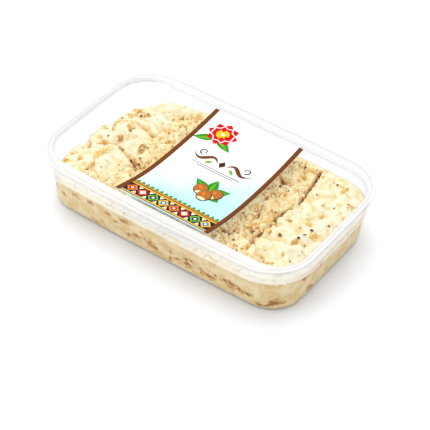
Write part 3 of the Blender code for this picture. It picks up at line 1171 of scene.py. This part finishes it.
@dataclass(frozen=True)
class Scatter:
    """Bits strewn over the halva's top by Geometry Nodes."""

    name: str
    per_cm2: float
    torn_boost: float
    smallest: float
    largest: float
    sink: float
    seed: int
    cuts: int = 5
    flatten: float = 1.0
    level: int = 2
    lie_flat: bool = False
    large_count: int = 0
    large_sizes: tuple[float, float] = (0.0, 0.0)
    large_tones: tuple[float, float] = (0.0, 1.0)
    large_lift: float = 0.28
    large_turn: float = 1.9
    variants: int = 5
    sharp_degrees: float = 38.0

    def chunk(self, number: int, cuts: int) -> Any:
        """The mesh of one bit."""
        return Chunk(self.seed * 10 + number, cuts, self.flatten, self.level).mesh()

    def tree(self, variants: Iterable[Any], material: Any) -> tuple[Any, dict[str, str]]:
        """Builds the node tree.

        Args:
            variants: The objects to strew.
            material: The bits' finish.

        Returns:
            The tree, and the identifier of each of its named inputs.
        """
        tree = bpy.data.node_groups.new(self.name, "GeometryNodeTree")
        draft, face = NodeDraft(tree), tree.interface
        face.new_socket("Geometry", in_out="INPUT", socket_type="NodeSocketGeometry")
        names = {}
        for label in ("Bits per cm2", "Smallest", "Largest", "Sink", "Seed"):
            kind = "NodeSocketInt" if label == "Seed" else "NodeSocketFloat"
            names[label] = face.new_socket(label, in_out="INPUT", socket_type=kind).identifier
        face.new_socket("Geometry", in_out="OUTPUT", socket_type="NodeSocketGeometry")
        given = draft.add("NodeGroupInput").outputs
        top, torn = [draft.add("GeometryNodeInputNamedAttribute", {"Name": name},
                               data_type="FLOAT").outputs["Attribute"]
                     for name in ("top", "torn")]

        def chance(offset: int) -> Any:
            """A random number from 0 to 1 for each bit."""
            return draft.add("FunctionNodeRandomValue",
                             {2: 0.0, 3: 1.0, "Seed": self.seed + offset},
                             data_type="FLOAT").outputs[1]

        share = draft.maths("MULTIPLY", draft.maths("MULTIPLY_ADD", torn, self.torn_boost, 1.0),
                            top)
        per_m2 = draft.maths("MULTIPLY", given["Bits per cm2"], 10000.0)
        strewn = draft.add("GeometryNodeDistributePointsOnFaces",
                           {"Mesh": given["Geometry"], "Seed": given["Seed"],
                            "Density": draft.maths("MULTIPLY", per_m2, share)},
                           distribute_method="RANDOM").outputs
        # Small bits are the most common: the random share is squared
        size = draft.span(draft.maths("POWER", chance(1), 2.0),
                          end=(given["Smallest"], given["Largest"]))
        depth = draft.maths("MULTIPLY", size, given["Sink"])
        down = draft.add("ShaderNodeVectorMath", {0: strewn["Normal"], "Scale": depth},
                         operation="SCALE").outputs[0]
        down = draft.add("ShaderNodeVectorMath", {0: down, 1: (-1.0, -1.0, -1.0)},
                         operation="MULTIPLY").outputs[0]
        sunk = draft.add("GeometryNodeSetPosition",
                         {"Geometry": strewn["Points"], "Offset": down}).outputs[0]
        parts = draft.add("GeometryNodeJoinGeometry")
        for variant in variants:
            info = draft.add("GeometryNodeObjectInfo", {"Object": variant, "As Instance": True})
            tree.links.new(info.outputs["Geometry"], parts.inputs["Geometry"])
        tilt = 0.5 if self.lie_flat else math.pi
        turn = draft.add("FunctionNodeRandomValue",
                         {0: (-tilt, -tilt, -math.pi), 1: (tilt, tilt, math.pi),
                          "Seed": self.seed + 2}, data_type="FLOAT_VECTOR").outputs[0]
        turned = draft.add("FunctionNodeRotateRotation",
                           {"Rotation": strewn["Rotation"], "Rotate By": turn},
                           rotation_space="LOCAL").outputs[0]
        placed = draft.add("GeometryNodeInstanceOnPoints",
                           {"Points": sunk, "Instance": parts.outputs[0], "Pick Instance": True,
                            "Rotation": turned, "Scale": size}).outputs[0]
        toned = draft.add("GeometryNodeStoreNamedAttribute",
                          {"Geometry": placed, "Name": "tone", "Value": chance(3)},
                          data_type="FLOAT", domain="INSTANCE").outputs[0]
        real = draft.add("GeometryNodeRealizeInstances", {"Geometry": toned}).outputs[0]
        painted = draft.add("GeometryNodeSetMaterial", {"Geometry": real, "Material": material})
        draft.add("NodeGroupOutput", {"Geometry": painted.outputs[0]})
        return tree, names

    def build(self, ground: Any, material: Any) -> Any:
        """Strews the bits and turns them to one plain mesh.

        Args:
            ground: The halva's piece.
            material: The bits' finish.

        Returns:
            The finished piece.
        """
        variants = [link_object(f"{self.name}_variant_{number}", self.chunk(number, self.cuts))
                    for number in range(self.variants)]
        tree, names = self.tree(variants, material)
        carrier = link_object(f"{self.name}_carrier", ground.data)
        modifier = carrier.modifiers.new(self.name, "NODES")
        modifier.node_group = tree
        for label, value in (("Bits per cm2", self.per_cm2), ("Smallest", self.smallest),
                             ("Largest", self.largest), ("Sink", self.sink),
                             ("Seed", self.seed)):
            modifier[names[label]] = value
        graph = bpy.context.evaluated_depsgraph_get()
        mesh = bpy.data.meshes.new_from_object(carrier.evaluated_get(graph),
                                               preserve_all_data_layers=True, depsgraph=graph)
        carrier.modifiers.clear()
        for helper in (carrier, *variants):
            bpy.data.objects.remove(helper)
        mesh.materials.clear()
        if self.large_count:
            self.add_large(mesh, ground.data)
        mesh.shade_smooth()
        mesh.set_sharp_from_angle(angle=math.radians(self.sharp_degrees))
        return hand_over(new_piece(self.name, mesh, [material]), Node.HALVA.slot)

    def large_places(self, top: BVHTree) -> Iterable[tuple[Vector, Vector, float, float]]:
        """Picks well-spaced places on the open parts of the top, clear of its edge.

        Args:
            top: The halva's surface.

        Yields:
            The place, the surface's normal, the bit's size and its tone.
        """
        chance = random.Random(self.seed + 5)
        taken: list[Vector] = []
        while len(taken) < self.large_count:
            x, y = chance.uniform(*OPEN_TOP[0]) * MM, chance.uniform(*OPEN_TOP[1]) * MM
            size = chance.uniform(*self.large_sizes)
            spot, normal = top.ray_cast(Vector((x, y, 1.0)), Vector((0, 0, -1)))[:2]
            if (spot is None or spot.z < EDGE_BAND or UNDER_LABEL[0] < x < UNDER_LABEL[1]
                    or any((spot - other).length < LARGE_SPACING * size for other in taken)):
                continue
            taken.append(spot)
            yield spot, normal, size, chance.uniform(*self.large_tones)

    def add_large(self, mesh: Any, ground: Any) -> None:
        """Adds the larger bits that stand out on the top.

        Args:
            mesh: The strewn bits' mesh, which gains them.
            ground: The halva's mesh.
        """
        top = BVHTree.FromPolygons([vertex.co for vertex in ground.vertices],
                                   [tuple(face.vertices) for face in ground.polygons])
        whole = bmesh.new()
        whole.from_mesh(mesh)
        for number, (spot, normal, size, tone) in enumerate(self.large_places(top)):
            chunk = self.chunk(100 + number, self.cuts - 1)
            turn = (normal.to_track_quat("Z", "Y")
                    @ Euler((0.0, 0.0, self.large_turn * number)).to_quaternion())
            chunk.transform(Matrix.LocRotScale(
                spot + normal * size * (self.large_lift - self.sink), turn, (size,) * 3))
            before = len(whole.verts)
            whole.from_mesh(chunk)
            bpy.data.meshes.remove(chunk)
            whole.verts.ensure_lookup_table()
            layer = whole.verts.layers.float["tone"]
            for vertex in whole.verts[before:]:
                vertex[layer] = tone
        whole.to_mesh(mesh)
        whole.free()


# ---------------------------------------------------------------------------------------------
# Label


@dataclass(frozen=True)
class Motif:
    """A flat field of one ink: its outline in millimetres and its layer in the print."""

    ink: Ink
    outline: Points
    layer: int = 0


def turned(points: Iterable[tuple[float, float]], x: float, y: float, turn: float) -> Points:
    """Points turned by an angle in degrees and then moved to (x, y)."""
    angle = math.radians(turn)
    return tuple((x + a * math.cos(angle) - b * math.sin(angle),
                  y + a * math.sin(angle) + b * math.cos(angle)) for a, b in points)


def box(left: float, foot: float, right: float, head: float) -> Points:
    """An upright rectangle, given by two opposite corners."""
    return (left, foot), (right, foot), (right, head), (left, head)


def diamond(x: float, y: float, wide: float, tall: float) -> Points:
    """A diamond round (x, y), given by its half width and half height."""
    return (x - wide, y), (x, y - tall), (x + wide, y), (x, y + tall)


def ellipse(x: float, y: float, wide: float, tall: float, turn: float = 0.0,
            count: int = 40) -> Points:
    """An ellipse round (x, y), given by its radii and its turn in degrees."""
    around = [2 * math.pi * step / count for step in range(count)]
    return turned([(wide * math.cos(a), tall * math.sin(a)) for a in around], x, y, turn)


def star(x: float, y: float, outer: float, inner: float, tips: int,
         turn: float = 90.0) -> Points:
    """A star with a number of tips round (x, y)."""
    points = []
    for step in range(2 * tips):
        reach = outer if step % 2 == 0 else inner
        angle = math.radians(turn + 180 * step / tips)
        points.append((x + reach * math.cos(angle), y + reach * math.sin(angle)))
    return tuple(points)


def leaf(x: float, y: float, long: float, wide: float, turn: float, steps: int = 16) -> Points:
    """A pointed leaf that starts at (x, y) and grows in the direction of its turn."""
    shares = [step / steps for step in range(steps + 1)]
    side = [(long * share, wide / 2 * math.sin(math.pi * share ** 0.8)) for share in shares]
    return turned(side + [(a, -b) for a, b in reversed(side[1:-1])], x, y, turn)


def ribbon(path: Sequence[tuple[float, float]], width: Callable[[float], float]) -> Points:
    """A stroke along a path, whose width depends on the share of the way."""
    left, right = [], []
    for index, (x, y) in enumerate(path):
        before, after = path[max(index - 1, 0)], path[min(index + 1, len(path) - 1)]
        run = Vector((after[0] - before[0], after[1] - before[1])).normalized()
        half = width(index / (len(path) - 1)) / 2
        left.append((x - run.y * half, y + run.x * half))
        right.append((x + run.y * half, y - run.x * half))
    return tuple(left + right[::-1])


@dataclass
class PrintedLabel:
    """The label on the lid's panel: film with brown side stripes and a folk-style print."""

    lid: PressFitLid
    left: float = -24.6 * MM
    right: float = 32.5 * MM
    depth: float = 85.6 * MM
    thickness: float = 0.3 * MM
    gap: float = 0.3 * MM
    flare: float = 3.0 * MM
    flare_start: float = 0.3
    curve: tuple[float, float] = (1.0 * MM, 1.3 * MM)
    stripe: float = 2.7
    ink_thickness: float = 0.015 * MM
    ink_step: float = 0.02 * MM
    grid: tuple[int, int] = (18, 30)
    cell: float = 6 * MM

    def edges(self, y: float) -> tuple[float, float]:
        """The label's left and right edges at a place across the lid."""
        share = y / (self.depth / 2)
        spread = max(0.0, -share - self.flare_start) / (1 - self.flare_start)
        flare = self.flare * spread * spread
        bow = [curve * share * share for curve in self.curve]
        return self.left - flare - bow[0], self.right - flare / 2 - bow[1]

    def on_film(self, x: float, y: float, lift: float) -> Vector:
        """A place on the film, given for a label with straight edges.

        Args:
            x: Place along the tub.
            y: Place across the tub.
            lift: Height over the film.

        Returns:
            The point.
        """
        low, high = self.edges(y)
        share = (x - self.left) / (self.right - self.left)
        bent = low + share * (high - low)
        return Vector((bent, y, self.lid.panel_height(bent, y) + self.gap + self.thickness + lift))

    def motifs(self) -> list[Motif]:
        """The whole print, in millimetres."""
        half = self.depth / MM / 2
        low, high = self.left / MM, self.right / MM
        made = [Motif(Ink.BROWN, box(edge, -half, edge + self.stripe, half))
                for edge in (low, high - self.stripe)]
        made += self.rosette(-9.5, 27.0)
        made += self.flourish((low + high) / 2, 6.5)
        made += self.hazelnuts(11.0, -16.5)
        made += self.border(low + self.stripe, high - self.stripe, -half + 0.6, 9.6)
        return made

    def rosette(self, x: float, y: float) -> list[Motif]:
        """A red eight-pointed rosette on two green leaves."""
        made = [Motif(Ink.GREEN, leaf(x - 1, y - 4, 13.5, 5.4, turn)) for turn in (-28, 208)]
        made += [Motif(Ink.LEAF, leaf(x - 1, y - 4.4, 11.5, 1.6, turn), 1) for turn in (-28, 208)]
        made += [Motif(Ink.RED, star(x, y, 9.2, 7.2, 8), 2),
                 Motif(Ink.WHITE, star(x, y, 7.2, 5.5, 8, 67.5), 3),
                 Motif(Ink.RED, star(x, y, 6.5, 4.9, 8, 67.5), 4),
                 Motif(Ink.YELLOW, star(x, y, 3.9, 1.9, 8), 5),
                 Motif(Ink.WHITE, ellipse(x, y, 1.0, 1.0), 6)]
        return made

    def flourish(self, x: float, y: float) -> list[Motif]:
        """A brown scroll on each side of a diamond, over two fine rules."""
        made = [Motif(Ink.DARK_BROWN, diamond(x, y, 2.1, 2.9))]
        for way in (-1, 1):
            scroll = [(x + way * (3.0 + 15.0 * share),
                       y + 2.6 * math.sin(2.1 * math.pi * share) * (1 - 0.35 * share))
                      for share in (step / 30 for step in range(31))]
            made.append(Motif(Ink.BROWN, ribbon(scroll, lambda s: 0.5 + 1.9 * math.sin(
                math.pi * min(s * 1.1, 1.0)))))
            curl = []
            for step in range(25):
                angle = math.radians(-90 + 330 * step / 24)
                reach = 2.4 * (1 - 0.6 * step / 24)
                curl.append((x + way * (13.5 + reach * math.cos(angle)),
                             y + 3.4 + reach * math.sin(angle)))
            made.append(Motif(Ink.DARK_BROWN, ribbon(curl, lambda s: 0.9 - 0.4 * s), 1))
            made.append(Motif(Ink.LEAF, leaf(x + way * 5.5, y - 1.0, 4.6, 2.0, 90 - way * 130), 1))
        for drop, reach in ((-6.2, 15.0), (-7.6, 11.0)):
            made.append(Motif(Ink.BROWN, box(x - reach, y + drop, x + reach, y + drop + 0.5)))
        return made

    def hazelnuts(self, x: float, y: float) -> list[Motif]:
        """Three hazelnuts on leaves."""
        made = []
        for turn, long in ((150, 13.0), (95, 11.5), (35, 12.0), (-20, 9.5)):
            made.append(Motif(Ink.GREEN, leaf(x, y, long, 6.0, turn)))
            made.append(Motif(Ink.LEAF, leaf(x, y, long * 0.9, 1.3, turn), 1))
        for number, (dx, dy, turn) in enumerate(((-4.4, 0.4, 20), (4.2, 0.8, -25), (0.2, -3.2, 0))):
            a, b, layer = x + dx, y + dy, 2 + 3 * number
            tip = math.radians(turn - 90)
            made += [Motif(Ink.DARK_BROWN, ellipse(a, b, 4.0, 4.5, turn), layer),
                     Motif(Ink.NUT, ellipse(a - 0.2, b + 0.2, 3.6, 4.1, turn), layer + 1),
                     Motif(Ink.CREAM, ellipse(a + 2.6 * math.cos(tip), b + 2.6 * math.sin(tip),
                                              2.4, 1.1, turn), layer + 2),
                     Motif(Ink.ORANGE, ellipse(a - 1.1, b + 1.3, 0.8, 1.5, turn + 30), layer + 2)]
        return made

    def border(self, low: float, high: float, foot: float, tall: float) -> list[Motif]:
        """A woven-rug border along the front: bands and a row of stepped diamonds."""
        head = foot + tall
        made = [Motif(ink, box(low, bottom, high, top), layer) for bottom, top, ink, layer in (
            (foot, head, Ink.NAVY, 0), (foot + 0.5, foot + 1.3, Ink.YELLOW, 1),
            (head - 1.3, head - 0.5, Ink.YELLOW, 1), (head, head + 0.9, Ink.ORANGE, 0))]
        count, teeth = 8, 18
        pitch, tooth = (high - low) / count, (high - low) / teeth
        inks = (Ink.ORANGE, Ink.RED, Ink.LEAF, Ink.YELLOW)
        inner = (Ink.RED, Ink.CREAM, Ink.NAVY, Ink.BLUE)
        middle = foot + tall / 2
        for number in range(count):
            x = low + pitch * (number + 0.5)
            for reach, ink, layer in ((0.49, inks[number % 4], 2), (0.30, inner[number % 4], 3),
                                      (0.13, Ink.WHITE, 4)):
                made.append(Motif(ink, diamond(x, middle, reach * pitch, reach * 6.6), layer))
            tip = x - pitch / 2
            for way in (-1, 1) if number else ():
                made.append(Motif(Ink.CREAM, ((tip - 1.3, middle + way * 3.2),
                                              (tip + 1.3, middle + way * 3.2),
                                              (tip, middle + way * 1.1)), 2))
        for number in range(teeth):
            x = low + tooth * number
            made.append(Motif(Ink.GREEN, ((x, head + 0.9), (x + tooth, head + 0.9),
                                          (x + tooth / 2, head + 3.0)), 0))
        return made

    def film_mesh(self) -> Any:
        """Makes the film, which follows the sagging panel, as a closed mesh."""
        columns, rows = self.grid
        shape = bmesh.new()
        grids = [[[shape.verts.new(self.on_film(
            self.left + (self.right - self.left) * column / columns,
            self.depth * (row / rows - 0.5), lift)) for column in range(columns + 1)]
            for row in range(rows + 1)] for lift in (-self.thickness, 0.0)]
        for row in range(rows):
            for column in range(columns):
                for grid in grids:
                    shape.faces.new((grid[row][column], grid[row][column + 1],
                                     grid[row + 1][column + 1], grid[row + 1][column]))
        rim = [(0, column) for column in range(columns)] + [(row, columns) for row in range(rows)]
        rim += [(rows, column) for column in range(columns, 0, -1)]
        rim += [(row, 0) for row in range(rows, 0, -1)]
        bridge(shape, *([grid[row][column] for row, column in rim] for grid in grids))
        return finish_mesh(shape, "label_film")

    def plate(self, motif: Motif, slot: int) -> Any:
        """Makes a field of ink as a thin closed plate that follows the film.

        Args:
            motif: The field.
            slot: Its ink's material slot.

        Returns:
            The mesh.
        """
        shape = bmesh.new()
        face = shape.faces.new([shape.verts.new((x * MM, y * MM, 0.0)) for x, y in motif.outline])
        bmesh.ops.triangulate(shape, faces=[face])
        for axis in (0, 1):
            places = [vertex.co[axis] for vertex in shape.verts]
            normal = Vector((axis == 0, axis == 1, 0))
            cut = math.ceil(min(places) / self.cell) * self.cell
            while cut < max(places):
                bmesh.ops.bisect_plane(shape, geom=everything(shape), plane_co=normal * cut,
                                       plane_no=normal)
                cut += self.cell
        for item in bmesh.ops.extrude_face_region(shape, geom=shape.faces[:],
                                                  use_keep_orig=True)["geom"]:
            if isinstance(item, bmesh.types.BMVert):
                item.co.z = self.ink_thickness
        lift = self.ink_step * (1 + motif.layer)
        for vertex in shape.verts:
            vertex.co = self.on_film(vertex.co.x, vertex.co.y, lift + vertex.co.z)
        for face in shape.faces:
            face.material_index = slot
        return finish_mesh(shape, "part")

    def print_mesh(self, motifs: Sequence[Motif], slots: dict[Ink, int]) -> Any:
        """Joins all the fields of ink to one mesh, each in its ink's material slot."""
        whole = bmesh.new()
        for motif in motifs:
            part = self.plate(motif, slots[motif.ink])
            whole.from_mesh(part)
            bpy.data.meshes.remove(part)
        mesh = bpy.data.meshes.new("label_print")
        whole.to_mesh(mesh)
        whole.free()
        return mesh

    def build(self, finish: PrintedFilm) -> list[Any]:
        """Makes the film and its print.

        Args:
            finish: The film.

        Returns:
            The finished pieces.
        """
        film = new_piece("label_film", self.film_mesh(), [finish.material()])
        hand_over(film, Node.LABEL.slot, Node.LABEL.node)
        motifs = self.motifs()
        inks = sorted({motif.ink for motif in motifs}, key=lambda ink: ink.name)
        slots = {ink: number for number, ink in enumerate(inks)}
        drawn = new_piece("label_print", self.print_mesh(motifs, slots),
                          [PrintingInk(ink).material() for ink in inks])
        return [film, hand_over(drawn, Node.LABEL.slot)]


# ---------------------------------------------------------------------------------------------
# Studio


@dataclass(frozen=True)
class SoftBox:
    """A large soft lamp that looks at the middle of the tub."""

    name: str
    place: tuple[float, float, float]
    size: float
    power: float

    def build(self) -> None:
        """Hangs the lamp."""
        lamp = bpy.data.lights.new(self.name, "AREA")
        lamp.shape = "SQUARE"
        lamp.size = self.size
        lamp.energy = self.power
        holder = link_object(self.name, lamp)
        holder.location = self.place
        holder.rotation_mode = "QUATERNION"
        holder.rotation_quaternion = (-Vector(self.place)).to_track_quat("-Z", "Y")


@dataclass
class Studio:
    """A plain white sweep under even, soft light, and the camera."""

    azimuth: float = 32.88
    elevation: float = 41.66
    roll: float = 3.47
    distance: float = 838.9 * MM
    offset: tuple[float, float] = (4.66 * MM, -0.73 * MM)
    lens: float = 131.23
    sensor: float = 36.0
    clip: tuple[float, float] = (0.05, 20.0)
    sky: float = 0.93
    floor_half: float = 3.0
    lamps: tuple[SoftBox, ...] = (
        SoftBox("overhead_softbox", (-0.24, 0.32, 1.15), 1.4, 7.6),
        SoftBox("front_softbox", (-0.75, -0.90, 0.65), 1.0, 3.8),
    )

    def camera(self) -> None:
        """Places the camera."""
        turn, rise, lean = (math.radians(v) for v in (self.azimuth, self.elevation, self.roll))
        back = Vector((math.sin(turn) * math.cos(rise), -math.cos(turn) * math.cos(rise),
                       math.sin(rise)))
        level = Vector((0, 0, 1)).cross(back).normalized()
        upright = back.cross(level)
        right = level * math.cos(lean) + upright * math.sin(lean)
        up = upright * math.cos(lean) - level * math.sin(lean)
        place = back * self.distance + right * self.offset[0] + up * self.offset[1]
        data = bpy.data.cameras.new("camera")
        data.lens = self.lens
        data.sensor_width = self.sensor
        data.clip_start, data.clip_end = self.clip
        camera = link_object("camera", data)
        camera.matrix_world = Matrix.Translation(place) @ Matrix(
            (right, up, back)).transposed().to_4x4()
        bpy.context.scene.camera = camera

    def floor(self) -> None:
        """Lays the white paper."""
        shape = bmesh.new()
        bmesh.ops.create_grid(shape, x_segments=1, y_segments=1, size=self.floor_half)
        mesh = bpy.data.meshes.new("floor")
        shape.to_mesh(mesh)
        shape.free()
        new_piece("floor", mesh, [StudioPaper().material()])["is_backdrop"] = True

    def build(self) -> None:
        """Sets up the paper, the light and the camera."""
        self.camera()
        self.floor()
        world = bpy.data.worlds.new("studio")
        world.use_nodes = True
        backdrop = world.node_tree.nodes["Background"]
        backdrop.inputs["Color"].default_value = (1.0, 1.0, 1.0, 1.0)
        backdrop.inputs["Strength"].default_value = self.sky
        bpy.context.scene.world = world
        bpy.context.scene.view_settings.view_transform = "Standard"
        for lamp in self.lamps:
            lamp.build()


def main() -> None:
    """Builds the pack, from the filling out, and its studio."""
    logging.basicConfig(level=logging.INFO, format="%(name)s: %(message)s")
    as_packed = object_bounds()
    noise.seed_set(NOISE_SEED)
    tub = ClearTub()
    lid = PressFitLid()
    tub.build(ClearPolypropylene("Clear polypropylene, tub wall"))
    lid.build(ClearPolypropylene("Clear polypropylene, lid"))
    paste = HalvaFilling(tub).build(HalvaPaste())
    nuts = ChoppedHazelnut().material()
    crumbs = ChoppedHazelnut("Sesame halva crumb", "#F9EEC8", "#EFD49C", "#F3E2B2").material()
    flakes = ChoppedHazelnut("Hazelnut skin", "#A8662E", "#6C2E10", "#6C2E10", "#9A5C2A",
                             gloss=0.05).material()
    Scatter("halva_crumbs", 1.8, 3.4, 1.2 * MM, 4.2 * MM, 0.22, 21, cuts=6).build(paste, crumbs)
    Scatter("chopped_nuts", 2.0, 2.6, 1.6 * MM, 5.2 * MM, 0.27, 42, cuts=5, large_count=54,
            large_sizes=(3.6 * MM, 6.6 * MM), large_tones=(0.1, 0.9)).build(paste, nuts)
    Scatter("nut_skins", 0.6, 3.0, 0.5 * MM, 2.0 * MM, 0.0, 63, cuts=4, flatten=0.35, level=1,
            lie_flat=True, large_count=26, large_sizes=(1.4 * MM, 2.6 * MM),
            large_tones=(0.5, 1.0)).build(paste, flakes)
    PrintedLabel(lid).build(PrintedFilm())
    Studio().build()
    [[list(corner) for corner in box] for box in (as_packed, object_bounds())]


if __name__ == "__main__":
    main()
